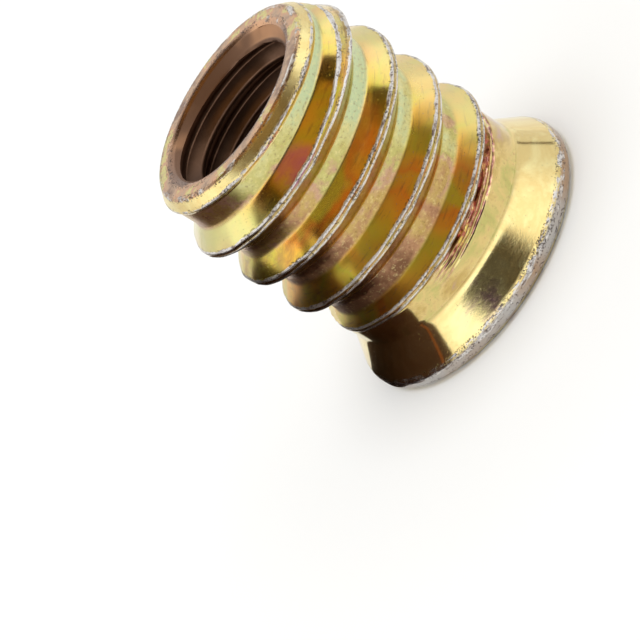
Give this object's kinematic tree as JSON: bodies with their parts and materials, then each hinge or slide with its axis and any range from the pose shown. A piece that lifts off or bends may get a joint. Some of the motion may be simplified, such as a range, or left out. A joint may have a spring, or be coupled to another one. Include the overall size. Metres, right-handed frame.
{
  "type": "threaded insert",
  "caption": "Flanged steel wood insert nut with a coarse outer thread, a tapped through bore and a hex drive socket in its flange.",
  "frame": {"origin": "centre of the flange face, where the insert stands", "axes": "+Z along the insert's axis from the flange towards the leading end; the flats of the hex socket face +Y and -Y"},
  "size_m": [0.017, 0.017, 0.0173],
  "materials": {
    "yellow_zinc": "yellow passivated zinc plating, iridescent, worn to bare silver on the crests and edges"
  },
  "bodies": {
    "root": {"insert": "yellow_zinc"}
  },
  "joints": []
}
